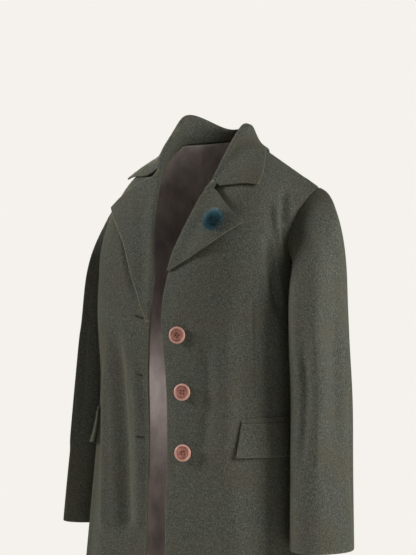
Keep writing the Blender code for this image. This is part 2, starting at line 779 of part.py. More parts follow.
def build_lapel(tree, side):
    """A lapel: the top of the front turned back along its roll line, and lying on the chest."""
    shape = LAPEL[side]
    notch_across, notch_z = shape["notch"]
    point_across, point_z = shape["point"]
    gorge = GORGE_Z - GORGE_GAP
    grid = []
    for i in range(LAPEL_ROWS + 1):
        s = i / LAPEL_ROWS
        roll_z = gorge + (shape["roll_z"] - gorge) * s
        edge_z = point_z + (shape["roll_z"] - point_z) * s
        edge_across = point_across * table_at(LAPEL_EDGE[side], s)[0]
        row = []
        for j in range(LAPEL_COLUMNS + 1):
            t = j / LAPEL_COLUMNS
            first_leg = 1 / LAPEL_COLUMNS
            if t <= first_leg:
                top = np.array([notch_across, notch_z - gorge]) * t / first_leg
            else:
                leg = (t - first_leg) / (1 - first_leg)
                top = np.array([notch_across, notch_z - gorge])
                top = top + (np.array([point_across, point_z - gorge]) - top) * leg
            straight = np.array([point_across * t, (point_z - gorge) * t])
            shift = (top - straight) * (1 - s) ** 3
            across = edge_across * t + shift[0]
            z = roll_z + (edge_z - roll_z) * t + shift[1]
            place, out = on_front(side, max(0.0, across), z)
            start, start_out = on_front(side, 0.0, z)
            away = np.linalg.norm(place - start)
            high = ROLL_HEIGHT * (1 - ROLL_FALL * s)
            lift = TURNED_WALL + REST_GAP
            lift += (high - lift) * (1 - eased(away / ROLL_WIDTH))
            if j == 0:
                beyond = unit(start - on_front(side, 0.03, z)[0])
                row = roll_arc(start + beyond * ROLL_CLEAR, start_out, beyond, high)
            row.append(place + out * lift)
        grid.append(row)
    grid = np.array(grid)
    flat = range(ROLL_ARC, grid.shape[1] - 1)
    if side == "right":
        grid = grid[:, ::-1]
        flat = range(LAPEL_COLUMNS)
    grid = cleared(tree, grid, TURNED_WALL, range(LAPEL_ROWS), flat)
    return grid, grid_normals(grid)


def build_flap(tree, side):
    """A pocket flap and the welt above it, both made from the front's own points."""
    start, end = FLAP_ACROSS
    hang, stand = [], []
    for i in range(FLAP_ROWS + 1):
        down = i / FLAP_ROWS
        row = []
        for j in range(FLAP_COLUMNS + 1):
            t = j / FLAP_COLUMNS
            across = start + (end - start) * t - FLAP_SLANT * down * (1 - t)
            place, out = on_front(side, across, FLAP_TOP - FLAP_DEPTH * down)
            lift = TURNED_WALL + REST_GAP + FLAP_STAND[side] * down**1.5
            row.append(place + out * lift)
        hang.append(row)
    for i in range(3):
        up = 1 - i / 2
        row = []
        for j in range(FLAP_COLUMNS + 1):
            t = j / FLAP_COLUMNS
            dip = WELT_DIP * (1 - t) ** 4 * up
            z = FLAP_TOP + SEAM_GAP * 1.5 + WELT_HEIGHT * up - dip
            place, out = on_front(side, start + (end - start) * t, z)
            lift = COAT_WALL + REST_GAP
            row.append(place + out * lift)
        stand.append(row)
    for name, rows, wall in (("_pocket_flap", hang, TURNED_WALL), ("_pocket_welt", stand, COAT_WALL)):
        grid = np.array(rows)
        if side == "right":
            grid = grid[:, ::-1]
        grid = cleared(tree, grid, wall, range(len(grid) - 1), range(FLAP_COLUMNS))
        layer(side + name, grid, grid_normals(grid), "wool", 0, wall)


def place_on(point, out):
    """A frame whose Z runs out of the cloth and whose Y runs up it."""
    out = Vector(out).normalized()
    right = Vector((0, 0, 1)).cross(out).normalized()
    up = out.cross(right)
    turn = Matrix((right, up, out)).transposed().to_4x4()
    return Matrix.Translation(Vector(point)) @ turn


def lifted(tree, frame, radius, gap):
    """The frame, moved along its Z until a disc of this radius round it clears the cloth."""
    least = math.inf
    for i in range(12):
        angle = math.pi * i / 6
        for share in (0.0, 0.5, 1.0):
            spot = Vector((radius * share * math.cos(angle), radius * share * math.sin(angle), 0.02))
            hit, _, _, distance = tree.ray_cast(frame @ spot, frame.to_3x3() @ Vector((0, 0, -1)))
            if hit:
                least = min(least, distance - 0.02)
    return frame @ Matrix.Translation((0, 0, gap - least))


def turned_shape(profile, sides):
    """A solid turned round Z from a list of (radius, z), from the bottom's middle to the top's."""
    shape = bmesh.new()
    rings = []
    for radius, z in profile:
        if radius == 0:
            rings.append([shape.verts.new((0, 0, z))] * sides)
            continue
        turns = [2 * math.pi * i / sides for i in range(sides)]
        rings.append([shape.verts.new((radius * math.cos(a), radius * math.sin(a), z)) for a in turns])
    for low, high in zip(rings, rings[1:]):
        for i in range(sides):
            j = (i + 1) % sides
            corners = (low[i], low[j], high[j], high[i])
            shape.faces.new(list(dict.fromkeys(corners)))
    bmesh.ops.recalc_face_normals(shape, faces=shape.faces)
    return shape


def cut_holes(button):
    """Four blind holes in the button's face, for its thread."""
    shape = bmesh.new()
    for i in range(4):
        angle = math.pi / 4 + i * math.pi / 2
        aside, up = BUTTON_HOLE_RING * math.cos(angle), BUTTON_HOLE_RING * math.sin(angle)
        middle = (aside, up, DRILL_HEIGHT)
        bmesh.ops.create_cone(
            shape, cap_ends=True, segments=DRILL_SIDES, radius1=BUTTON_HOLE, radius2=BUTTON_HOLE,
            depth=DRILL_DEPTH, matrix=Matrix.Translation(middle),
        )
    drill = keep("drill", shape, "button")
    bpy.context.view_layer.update()
    cut = button.modifiers.new("holes", "BOOLEAN")
    cut.operation = "DIFFERENCE"
    cut.solver = "EXACT"
    cut.object = drill
    seen = button.evaluated_get(bpy.context.evaluated_depsgraph_get())
    mesh = bpy.data.meshes.new_from_object(seen)
    button.modifiers.clear()
    button.data = mesh
    bpy.data.objects.remove(drill)


def build_buttons(tree):
    """Three turned buttons, each with the thread foot that it stands on."""
    profile = [(0, -BUTTON_LIFT), (BUTTON_THREAD, -BUTTON_LIFT), (BUTTON_THREAD, 0)]
    profile += [(BUTTON_RADIUS * far, BUTTON_THICK * high) for far, high in BUTTON_PROFILE]
    for i, z in enumerate(BUTTON_Z):
        edge, _ = on_front("left", 0.0, z)
        step, _ = on_front("left", BUTTON_STEP, z)
        across = BUTTON_STEP * BUTTON_INSET / np.linalg.norm(step - edge)
        place, out = on_front("left", across, z)
        button = keep("button_" + str(i + 1), turned_shape(profile, BUTTON_SIDES), "button")
        cut_holes(button)
        frame = lifted(tree, place_on(place, out), BUTTON_THREAD, SEAM_GAP + BUTTON_LIFT)
        button.data.transform(frame)


def build_brooch(lapel):
    """A dome of short strands on a plate. Each strand is a three-sided spike that grows from a
    face of the dome, so the whole brooch is one solid."""
    place, out = on_front("left", *BROOCH_PLACE)
    near, out, _, _ = lapel.find_nearest(Vector(place + out * 0.02))
    frame = lifted(lapel, place_on(near, out), BROOCH_CORE, SEAM_GAP)
    shape = bmesh.new()
    bmesh.ops.create_icosphere(shape, subdivisions=BROOCH_DETAIL, radius=1)
    low = [v for v in shape.verts if v.co.z < -0.05]
    bmesh.ops.delete(shape, geom=low, context="VERTS")
    for v in shape.verts:
        v.co = Vector((v.co.x * BROOCH_CORE, v.co.y * BROOCH_CORE, max(0.0, v.co.z) * BROOCH_RISE))
        v.co.z += BROOCH_PLATE
    edges = [e for e in shape.edges if e.is_boundary]
    rim = bmesh.ops.extrude_edge_only(shape, edges=edges)["geom"]
    for v in rim:
        if isinstance(v, bmesh.types.BMVert):
            v.co.z = 0.0
    bottom = [e for e in shape.edges if e.is_boundary]
    bmesh.ops.contextual_create(shape, geom=bottom)
    shape.normal_update()
    bmesh.ops.recalc_face_normals(shape, faces=shape.faces)
    hairy = [f for f in shape.faces if len(f.verts) == 3]
    bmesh.ops.inset_individual(shape, faces=hairy, thickness=BROOCH_CORE * BROOCH_ROOT)
    for n, face in enumerate(hairy):
        middle = face.calc_center_median()
        away = (middle - Vector((0, 0, -BROOCH_CORE * BROOCH_FOCUS))).normalized()
        sway = Vector((math.sin(n * 2.4), math.cos(n * 3.7), 0)) * BROOCH_UNEVEN
        length = BROOCH_HAIR * (1 - BROOCH_UNEVEN + BROOCH_UNEVEN * math.sin(n * 1.7))
        tip = bmesh.ops.poke(shape, faces=[face])["verts"][0]
        tip.co = middle + (away + sway) * length
        tip.co.z = max(tip.co.z, BROOCH_PLATE * 0.6)
    shape.transform(frame)
    keep("brooch", shape, "brooch")


def main():
    for old in list(bpy.data.objects):
        bpy.data.objects.remove(old)
    grids, normals = body_panels()
    build_body(grids, normals)
    tree = surface_of(*grids.values())
    collar, out = build_collar(tree)
    layer("collar", collar, out, "wool", 0, TURNED_WALL)
    for side in ("left", "right"):
        build_sleeve(grids, normals, side)
        lapel, out = build_lapel(tree, side)
        layer(side + "_lapel", lapel, out, "wool", 0, TURNED_WALL)
        build_flap(tree, side)
        if side == "left":
            build_brooch(surface_of(lapel))
    build_buttons(tree)


main()
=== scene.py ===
import math
import random

import bmesh
import bpy
import numpy as np
from mathutils import Matrix, Vector
from mathutils.bvhtree import BVHTree


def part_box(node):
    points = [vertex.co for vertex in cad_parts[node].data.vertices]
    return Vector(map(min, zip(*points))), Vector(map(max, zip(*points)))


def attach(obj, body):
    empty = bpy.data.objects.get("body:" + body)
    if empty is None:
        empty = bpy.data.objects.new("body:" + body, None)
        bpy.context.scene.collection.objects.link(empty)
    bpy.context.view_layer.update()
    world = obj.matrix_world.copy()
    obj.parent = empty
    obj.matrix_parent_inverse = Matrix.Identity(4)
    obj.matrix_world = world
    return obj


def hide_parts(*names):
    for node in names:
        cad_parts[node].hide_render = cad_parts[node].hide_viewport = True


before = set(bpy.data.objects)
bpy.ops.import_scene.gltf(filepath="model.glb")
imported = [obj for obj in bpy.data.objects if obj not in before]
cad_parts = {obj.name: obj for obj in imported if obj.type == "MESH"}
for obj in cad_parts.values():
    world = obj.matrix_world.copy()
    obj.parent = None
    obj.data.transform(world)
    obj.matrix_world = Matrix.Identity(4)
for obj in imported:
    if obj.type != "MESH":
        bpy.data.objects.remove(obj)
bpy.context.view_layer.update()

print("coat: frame loaded")

# camera, as the photograph was taken: at chest height, from the coat's left front
cameraSetup = {
    "azimuth": 36.0,
    "elevation": 1.5,
    "aim": (0.0, 0.0, -0.35),
    "distance": 2.4,
    "focalPixels": 1317.0,  # at a frame 416 pixels wide
    "shift": (-3.5, 72.2),  # pixels
    "frame": (416, 555),
    "sensor": 36.0,  # mm
}


def cameraAxes(setup):
    az, el = math.radians(setup["azimuth"]), math.radians(setup["elevation"])
    right = Vector((math.cos(az), math.sin(az), 0))
    look = Vector((-math.sin(az) * math.cos(el), math.cos(az) * math.cos(el), -math.sin(el)))
    return right, right.cross(look), look


def makeCamera(setup):
    right, up, look = cameraAxes(setup)
    data = bpy.data.cameras.new("camera")
    camera = bpy.data.objects.new("camera", data)
    bpy.context.scene.collection.objects.link(camera)
    place = Vector(setup["aim"]) - look * setup["distance"]
    camera.matrix_world = Matrix.Translation(place) @ Matrix((right, up, -look)).transposed().to_4x4()
    data.sensor_fit = "HORIZONTAL"
    data.sensor_width = setup["sensor"]
    data.lens = setup["focalPixels"] / setup["frame"][0] * setup["sensor"]
    data.shift_x = setup["shift"][0] / setup["frame"][0]
    data.shift_y = setup["shift"][1] / setup["frame"][0]
    bpy.context.scene.camera = camera
    return place


def pixelRay(setup, px, py):
    right, up, look = cameraAxes(setup)
    across = (px - setup["frame"][0] / 2 + setup["shift"][0]) / setup["focalPixels"]
    down = (py - setup["frame"][1] / 2 - setup["shift"][1]) / setup["focalPixels"]
    return (look + right * across - up * down).normalized()


cameraPlace = makeCamera(cameraSetup)

# materials: colours are sRGB hex values, pattern sizes are metres


def linear(hexColour):
    parts = [int(hexColour[i:i + 2], 16) / 255 for i in (0, 2, 4)]
    return tuple(c / 12.92 if c <= 0.04045 else ((c + 0.055) / 1.055) ** 2.4 for c in parts) + (1.0,)


def newMaterial(name, finish):
    material = bpy.data.materials.new(name)
    material.use_nodes = True
    shader = material.node_tree.nodes["Principled BSDF"]
    for socket, value in finish.items():
        shader.inputs[socket].default_value = value
    return material, material.node_tree, shader


def addNode(tree, kind, settings=None, inputs=None):
    node = tree.nodes.new(kind)
    for name, value in (settings or {}).items():
        setattr(node, name, value)
    for socket, value in (inputs or {}).items():
        if isinstance(value, bpy.types.NodeSocket):
            tree.links.new(value, node.inputs[socket])
        else:
            node.inputs[socket].default_value = value
    return node


def addRamp(tree, factor, stops):
    ramp = addNode(tree, "ShaderNodeValToRGB", None, {"Fac": factor})
    elements = ramp.color_ramp.elements
    elements[0].position, elements[1].position = stops[0][0], stops[-1][0]
    for place, _ in stops[1:-1]:
        elements.new(place)
    for element, (_, colour) in zip(elements, stops):
        element.color = linear(colour) if isinstance(colour, str) else (colour, colour, colour, 1.0)
    return ramp.outputs["Color"]


def mixColours(tree, factor, first, second, blend="MIX"):
    mix = addNode(tree, "ShaderNodeMix", {"data_type": "RGBA", "blend_type": blend})
    for socket, value in ((mix.inputs[0], factor), (mix.inputs[6], first), (mix.inputs[7], second)):
        if isinstance(value, bpy.types.NodeSocket):
            tree.links.new(value, socket)
        else:
            socket.default_value = value
    return mix.outputs[2]


def noiseAt(tree, vector, size, detail=2.0, roughness=0.5):
    node = addNode(tree, "ShaderNodeTexNoise", None,
                   {"Vector": vector, "Scale": 1 / size, "Detail": detail, "Roughness": roughness})
    return node.outputs["Fac"]


# melton: heavy felted wool of mixed dark fibres, brushed and cropped. A dry, dark, faintly flecked
# face with a soft pale bloom at grazing angles; its free edges are painted paler, a painted highlight where
# they would catch the light.
def makeWool(name, tones):
    material, tree, shader = newMaterial(name, {
        "Roughness": 0.93, "IOR": 1.45, "Specular IOR Level": 0.18,
        "Sheen Weight": 0.22, "Sheen Roughness": 0.45, "Sheen Tint": linear("b9b894")})
    where = addNode(tree, "ShaderNodeTexCoord").outputs["Object"]
    fibre = noiseAt(tree, where, 0.0013, 2.0, 0.55)  # clumps of felted fibre, about 1 mm
    fleck = noiseAt(tree, where, 0.0026, 2.0, 0.6)  # paler flecks, 2 to 3 mm
    cloud = noiseAt(tree, where, 0.055, 2.0, 0.5)  # a slow change of tone, over 5 cm
    hairMap = addNode(tree, "ShaderNodeMapping", None, {"Vector": where, "Scale": (1.0, 1.0, 0.22)})
    hair = noiseAt(tree, hairMap.outputs["Vector"], 0.0012, 2.0, 0.6)
    base = addRamp(tree, fleck, [(0.25, tones["deep"]), (0.44, tones["olive"]),
                                 (0.58, tones["ash"]), (0.76, tones["pale"])])
    brown = addRamp(tree, cloud, [(0.42, 0.0), (0.72, 0.36)])
    base = mixColours(tree, brown, base, linear(tones["brown"]))
    speck = addRamp(tree, fibre, [(0.30, 0.74), (0.50, 1.0), (0.70, 1.28)])
    base = mixColours(tree, 1.0, base, speck, "MULTIPLY")
    # free edges are mixed towards a pale tone: painted highlight
    edge = addNode(tree, "ShaderNodeAttribute", {"attribute_name": "edgeLight"}).outputs["Fac"]
    worn = addNode(tree, "ShaderNodeMath", {"operation": "MULTIPLY"}, {0: edge, 1: 0.42})
    base = mixColours(tree, worn.outputs[0], base, linear(tones["edge"]))
    tree.links.new(base, shader.inputs["Base Color"])
    nap = addNode(tree, "ShaderNodeMath", {"operation": "ADD"}, {0: fibre, 1: hair})
    felt = addNode(tree, "ShaderNodeMath", {"operation": "ADD"}, {0: nap.outputs[0], 1: fleck})
    bump = addNode(tree, "ShaderNodeBump", None,
                   {"Height": felt.outputs[0], "Strength": 0.4, "Distance": 0.0005})
    tree.links.new(bump.outputs["Normal"], shader.inputs["Normal"])
    return material


woolTones = {
    "deep": "363936",
    "olive": "42453f",
    "ash": "4f514b",
    "pale": "5e6059",
    "brown": "4f473a",
    # the pale tone of the painted highlight along free edges
    "edge": "9a9678",
}


# satin: smooth woven lining, floats along one way. A soft broad shine that runs over its wrinkles.
def makeSatin(name, tones):
    material, tree, shader = newMaterial(name, {
        "Roughness": 0.36, "IOR": 1.5, "Specular IOR Level": 0.45, "Anisotropic": 0.5,
        "Sheen Weight": 0.12, "Sheen Roughness": 0.3, "Sheen Tint": linear("c9b7b4")})
    where = addNode(tree, "ShaderNodeTexCoord").outputs["Object"]
    threadMap = addNode(tree, "ShaderNodeMapping", None, {"Vector": where, "Scale": (1.0, 1.0, 0.12)})
    # real threads are 0.2 mm apart, drawn coarser so that they show
    thread = noiseAt(tree, threadMap.outputs["Vector"], 0.0009, 2.0, 0.6)
    creaseMap = addNode(tree, "ShaderNodeMapping", None,
                        {"Vector": where, "Rotation": (0.0, 0.5, 0.35), "Scale": (1.0, 1.0, 0.45)})
    crease = noiseAt(tree, creaseMap.outputs["Vector"], 0.030, 2.5, 0.55)
    base = addRamp(tree, crease, [(0.30, tones["shade"]), (0.52, tones["taupe"]), (0.74, tones["light"])])
    grain = addRamp(tree, thread, [(0.3, 0.86), (0.7, 1.1)])
    base = mixColours(tree, 1.0, base, grain, "MULTIPLY")
    tree.links.new(base, shader.inputs["Base Color"])
    coarse = addNode(tree, "ShaderNodeBump", None,
                     {"Height": crease, "Strength": 0.55, "Distance": 0.006})
    fine = addNode(tree, "ShaderNodeBump", None,
                   {"Height": thread, "Strength": 0.3, "Distance": 0.0003,
                    "Normal": coarse.outputs["Normal"]})
    tree.links.new(fine.outputs["Normal"], shader.inputs["Normal"])
    return material


# cast polyester: a polished button, marbled in the mould, paler towards the crest of its rim, and
# darker in the groove inside the rim, which is painted shade
def makeButtonPlastic(name, tones):
    material, tree, shader = newMaterial(name, {
        "Roughness": 0.48, "IOR": 1.50, "Specular IOR Level": 0.4,
        "Coat Weight": 0.08, "Coat Roughness": 0.3})
    where = addNode(tree, "ShaderNodeTexCoord").outputs["Object"]
    warp = addNode(tree, "ShaderNodeTexNoise", None,
                   {"Vector": where, "Scale": 1 / 0.009, "Detail": 2.0, "Distortion": 1.6})
    base = addRamp(tree, warp.outputs["Fac"],
                   [(0.30, tones["deep"]), (0.50, tones["red"]), (0.70, tones["pink"])])
    share = addNode(tree, "ShaderNodeAttribute", {"attribute_name": "rimShare"}).outputs["Fac"]
    rim = addRamp(tree, share, [(0.0, 0.0), (0.66, 0.05), (0.74, 0.30), (0.90, 0.75), (1.0, 0.55)])
    base = mixColours(tree, rim, base, linear(tones["rim"]))
    # painted shade: the groove inside the rim is darkened
    paintedGrooveShade = addRamp(tree, share, [(0.58, 1.0), (0.67, 0.50), (0.73, 0.55), (0.79, 1.0)])
    base = mixColours(tree, 1.0, base, paintedGrooveShade, "MULTIPLY")
    tree.links.new(base, shader.inputs["Base Color"])
    pits = noiseAt(tree, where, 0.0016, 2.0, 0.5)
    bump = addNode(tree, "ShaderNodeBump", None, {"Height": pits, "Strength": 0.12, "Distance": 0.0003})
    tree.links.new(bump.outputs["Normal"], shader.inputs["Normal"])
    return material


# sewing thread: two plies twisted together, matt with a fine diagonal ridge
def makeThread(name, colour):
    material, tree, shader = newMaterial(name, {"Roughness": 0.75, "IOR": 1.45, "Specular IOR Level": 0.3})
    where = addNode(tree, "ShaderNodeTexCoord").outputs["Object"]
    ply = noiseAt(tree, where, 0.0008, 1.0, 0.5)
    base = mixColours(tree, 1.0, linear(colour), addRamp(tree, ply, [(0.3, 0.7), (0.7, 1.25)]), "MULTIPLY")
    tree.links.new(base, shader.inputs["Base Color"])
    bump = addNode(tree, "ShaderNodeBump", None, {"Height": ply, "Strength": 0.5, "Distance": 0.0002})
    tree.links.new(bump.outputs["Normal"], shader.inputs["Normal"])
    return material


# dyed hair: straight glossy hairs, nearly black at the root and pale at the tip
def makeDyedHair(name, tones):
    material, tree, shader = newMaterial(name, {
        "Roughness": 0.42, "IOR": 1.55, "Specular IOR Level": 0.5,
        "Sheen Weight": 0.3, "Sheen Roughness": 0.4, "Sheen Tint": linear("9fc4cf")})
    where = addNode(tree, "ShaderNodeTexCoord").outputs["Object"]
    along = addNode(tree, "ShaderNodeAttribute", {"attribute_name": "alongHair"}).outputs["Fac"]
    base = addRamp(tree, along, [(0.0, tones["root"]), (0.45, tones["middle"]),
                                 (0.8, tones["tip"]), (1.0, tones["palest"])])
    patch = addRamp(tree, noiseAt(tree, where, 0.006, 2.0, 0.6), [(0.32, 0.55), (0.68, 1.4)])
    tree.links.new(mixColours(tree, 1.0, base, patch, "MULTIPLY"), shader.inputs["Base Color"])
    return material


coatWool = makeWool("melton wool, brushed and cropped", woolTones)
liningSatin = makeSatin("satin lining, woven viscose",
                        {"shade": "7a706f", "taupe": "968b89", "light": "a89d99"})
buttonPlastic = makeButtonPlastic("cast polyester, polished",
                                  {"deep": "8b5951", "red": "aa7167", "pink": "be887c", "rim": "c6998a"})
buttonThread = makeThread("button thread, twisted cotton", "96625a")
# near-black: painted shade in the button holes and the buttonhole slits
paintedShadeThread = makeThread("near-black thread, painted shade", "151210")
stitchThread = makeThread("buttonhole twist, dark olive silk", "33342e")
broochHair = makeDyedHair("dyed hair, blue teal",
                          {"root": "071317", "middle": "15414f", "tip": "3c7689", "palest": "86a9b3"})
print("coat: materials made")

# cloth: each piece is a copy of its solid, made finer, with its creases pressed in
clothDetail = {
    "joinAngle": 35.0,      # degrees, between the two triangles of one cell
    "rimAngle": 50.0,       # edges sharper than this are the cloth's cut or turned edges
    "seamReach": 0.0055,    # how far from a seam the cloth dips towards it
    "seamDepth": 0.0006,
    "edgeReach": 0.0015,    # how far the painted highlight along a free edge runs in
    "seamNear": 0.0024,     # a rim closer than this to another panel is sewn to it
}


def mergedCopy(node):
    bm = bmesh.new()
    bm.from_mesh(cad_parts[node].data)
    bmesh.ops.remove_doubles(bm, verts=bm.verts, dist=1e-6)
    bmesh.ops.join_triangles(bm, faces=bm.faces, topology_influence=1.0,
                             angle_face_threshold=math.radians(clothDetail["joinAngle"]),
                             angle_shape_threshold=math.radians(179))
    return bm


def finishedMesh(name, bm, levels):
    mesh = bpy.data.meshes.new(name)
    bm.to_mesh(mesh)
    bm.free()
    made = bpy.data.objects.new(name, mesh)
    bpy.context.scene.collection.objects.link(made)
    if levels:
        finer = made.modifiers.new("finer", "SUBSURF")
        finer.levels = finer.render_levels = levels
        fine = bpy.data.meshes.new_from_object(made.evaluated_get(bpy.context.evaluated_depsgraph_get()))
        made.modifiers.clear()
        made.data = fine
        bpy.data.meshes.remove(mesh)
        fine.name = name
    made.data.shade_smooth()
    return made


def points(mesh):
    co = np.empty(len(mesh.vertices) * 3)
    mesh.vertices.foreach_get("co", co)
    return co.reshape(-1, 3)


def setPoints(mesh, co):
    mesh.vertices.foreach_set("co", co.ravel())
    mesh.update()


def setShare(mesh, name, values):
    layer = mesh.attributes.new(name, "FLOAT", "POINT")
    layer.data.foreach_set("value", np.asarray(values, float))


def centreLine(node, bins=24):
    co = points(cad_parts[node].data)
    low, high = co[:, 2].min(), co[:, 2].max()
    heights = np.linspace(low, high, bins)
    half = (high - low) / bins
    table = []
    for z in heights:
        near = co[abs(co[:, 2] - z) < half]
        least, most = near.min(0), near.max(0)
        table.append([z, (least[0] + most[0]) / 2, (least[1] + most[1]) / 2])
    return np.array(table)


bodyCentre = {"x": 0.0, "y": 0.015, "top": -0.16}  # the line that the panels face away from, and its top
sleeveTop = -0.115  # the top of the line that a sleeve faces away from
sleeveCentre = {side: centreLine(side + "_sleeve") for side in ("left", "right")}


def outFromBody(co):
    middle = np.stack([np.full(len(co), bodyCentre["x"]), np.full(len(co), bodyCentre["y"]),
                       np.minimum(co[:, 2], bodyCentre["top"])], 1)
    away = co - middle
    return away / np.maximum(np.linalg.norm(away, axis=1), 1e-9)[:, None]


def outFromSleeve(side):
    table = sleeveCentre[side]

    def out(co):
        z = np.minimum(co[:, 2], sleeveTop)
        x, y = (np.interp(z, table[:, 0], table[:, column]) for column in (1, 2))
        away = co - np.stack([x, y, z], 1)
        return away / np.maximum(np.linalg.norm(away, axis=1), 1e-9)[:, None]
    return out


def treeOf(*nodes):
    corners, faces = [], []
    for node in nodes:
        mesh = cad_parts[node].data
        start = len(corners)
        corners += [v.co.copy() for v in mesh.vertices]
        faces += [[start + i for i in p.vertices] for p in mesh.polygons]
    return BVHTree.FromPolygons(corners, faces)


def rimFaces(bm):
    limit = math.radians(clothDetail["rimAngle"])
    sharp = {e for e in bm.edges if len(e.link_faces) == 2 and e.calc_face_angle() > limit}
    rim = []
    for face in bm.faces:  # a rim face lies between two sharp edges that don't meet
        edges = [e for e in face.edges if e in sharp]
        if any(not set(a.verts) & set(b.verts) for a in edges for b in edges):
            rim.append(face)
    return sharp, rim


def smoothLine(route, step=0.006):
    ends = [route[0] * 2 - route[1]] + route + [route[-1] * 2 - route[-2]]
    line = []
    for a, b, c, d in zip(ends, ends[1:], ends[2:], ends[3:]):
        count = max(2, int((c - b).length / step))
        for i in range(count):
            t = i / count
            line.append(0.5 * (2 * b + (c - a) * t + (2 * a - 5 * b + 4 * c - d) * t * t
                               + (3 * b - 3 * c + d - a) * t * t * t))
    return np.array(line + [route[-1]])


def eased(t):
    return t * t * (3 - 2 * t)


def pressed(co, lines, out):
    away = out(co)
    total = np.zeros(len(co))
    for line in lines:
        route, width = line["route"], line["width"]
        low, high = route.min(0) - width, route.max(0) + width
        near = np.nonzero(((co > low) & (co < high)).all(1))[0]
        if not len(near):
            continue
        p = co[near]
        a, b = route[:-1], route[1:]
        lengths = np.linalg.norm(b - a, axis=1)
        starts = np.concatenate([[0], np.cumsum(lengths)])
        best, place = np.full(len(p), 1e9), np.zeros(len(p))
        for i in range(len(a)):
            d = b[i] - a[i]
            t = np.clip(((p - a[i]) @ d) / (d @ d), 0, 1)
            gap = np.linalg.norm(p - a[i] - t[:, None] * d, axis=1)
            closer = gap < best
            best[closer] = gap[closer]
            place[closer] = (starts[i] + t[closer] * lengths[i]) / starts[-1]
        fade = eased(np.clip(np.minimum(place, 1 - place) / line["ends"], 0, 1))
        if line["toHem"]:
            fade = np.where(place > 0.5, 1, fade)
        shape = np.where(best < width, np.cos(np.minimum(best / width, 1) * math.pi / 2) ** 2, 0)
        total[near] += line["depth"] * shape * fade
    return co + away * total[:, None]


# tight: how crisp the edges stay; worn: how strongly a free edge is painted paler, a painted highlight;
# lines: its creases; out: the way that it faces; loose: what is done to its points at the end
def clothPiece(node, name, material, slot, levels=3, tight=0.85, worn=0.3, sewnTo=(), lines=(),
               out=outFromBody, loose=None):
    bm = mergedCopy(node)
    tightness = bm.edges.layers.float.new("crease_edge")
    sharp, rim = rimFaces(bm)
    for edge in sharp:
        edge[tightness] = tight
    seams = treeOf(*sewnTo) if sewnTo else None
    corners, faces, rimSewn = [], [], []
    for face in rim:
        middle = face.calc_center_median()
        faces.append(list(range(len(corners), len(corners) + len(face.verts))))
        corners += [v.co.copy() for v in face.verts]
        rimSewn.append(bool(seams and seams.find_nearest(middle, clothDetail["seamNear"])[0] is not None))
    rimTree = BVHTree.FromPolygons(corners, faces)
    made = finishedMesh(name, bm, levels)
    co = points(made.data)
    away = out(co)
    reach, light = clothDetail["seamReach"], np.zeros(len(co))
    for i, p in enumerate(co):
        spot, _, face, gap = rimTree.find_nearest(Vector(p), reach)
        if spot is None:
            continue
        if rimSewn[face]:
            co[i] = p - away[i] * clothDetail["seamDepth"] * (1 - gap / reach) ** 2
        # near a free rim the cloth is painted paler: painted highlight
        elif gap < clothDetail["edgeReach"]:
            light[i] = worn * (1 - gap / clothDetail["edgeReach"])
    co = pressed(co, lines, out)
    if loose:
        co = loose(co)
    setPoints(made.data, co)
    setShare(made.data, "edgeLight", light)
    made.data.materials.clear()
    made.data.materials.append(material)
    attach(made, "root")
    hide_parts(node)
    return made


# a crease's route is given by pixels where the photograph shows it, and otherwise as places across and
# up, seen from an azimuth; either way it lies on the solid that carries it
trees = {}


def firstHit(node, start, way):
    if node not in trees:
        trees[node] = treeOf(node)
    spot = trees[node].ray_cast(start, way)[0]
    if spot is None:
        raise ValueError(f"no point of {node} lies under a place of its crease")
    return spot


def treeOfMesh(mesh):
    return BVHTree.FromPolygons([v.co for v in mesh.vertices], [list(p.vertices) for p in mesh.polygons])


def byPixel(node, *places):
    return smoothLine([firstHit(node, cameraPlace, pixelRay(cameraSetup, x, y)) for x, y in places])


def fromAzimuth(node, azimuth, *places):
    a = math.radians(azimuth)
    across, back = Vector((math.cos(a), math.sin(a), 0)), Vector((math.sin(a), -math.cos(a), 0))
    return smoothLine([firstHit(node, across * u + back * 2 + Vector((0, 0, z)), -back) for u, z in places])


def roundSleeve(side, azimuth, *places):
    a = math.radians(azimuth)
    across, table = Vector((math.cos(a), math.sin(a), 0)), sleeveCentre[side]
    middles = [(np.interp(z, table[:, 0], table[:, 1]), np.interp(z, table[:, 0], table[:, 2]))
               for _, z in places]
    moved = [(u + x * across.x + y * across.y, z)
             for (u, z), (x, y) in zip(places, middles)]
    return fromAzimuth(side + "_sleeve", azimuth, *moved)


def crease(route, width, depth, ends=0.3, toHem=False):  # ends: the share in which each end fades out
    return {"route": route, "width": width, "depth": depth, "ends": ends, "toHem": toHem}


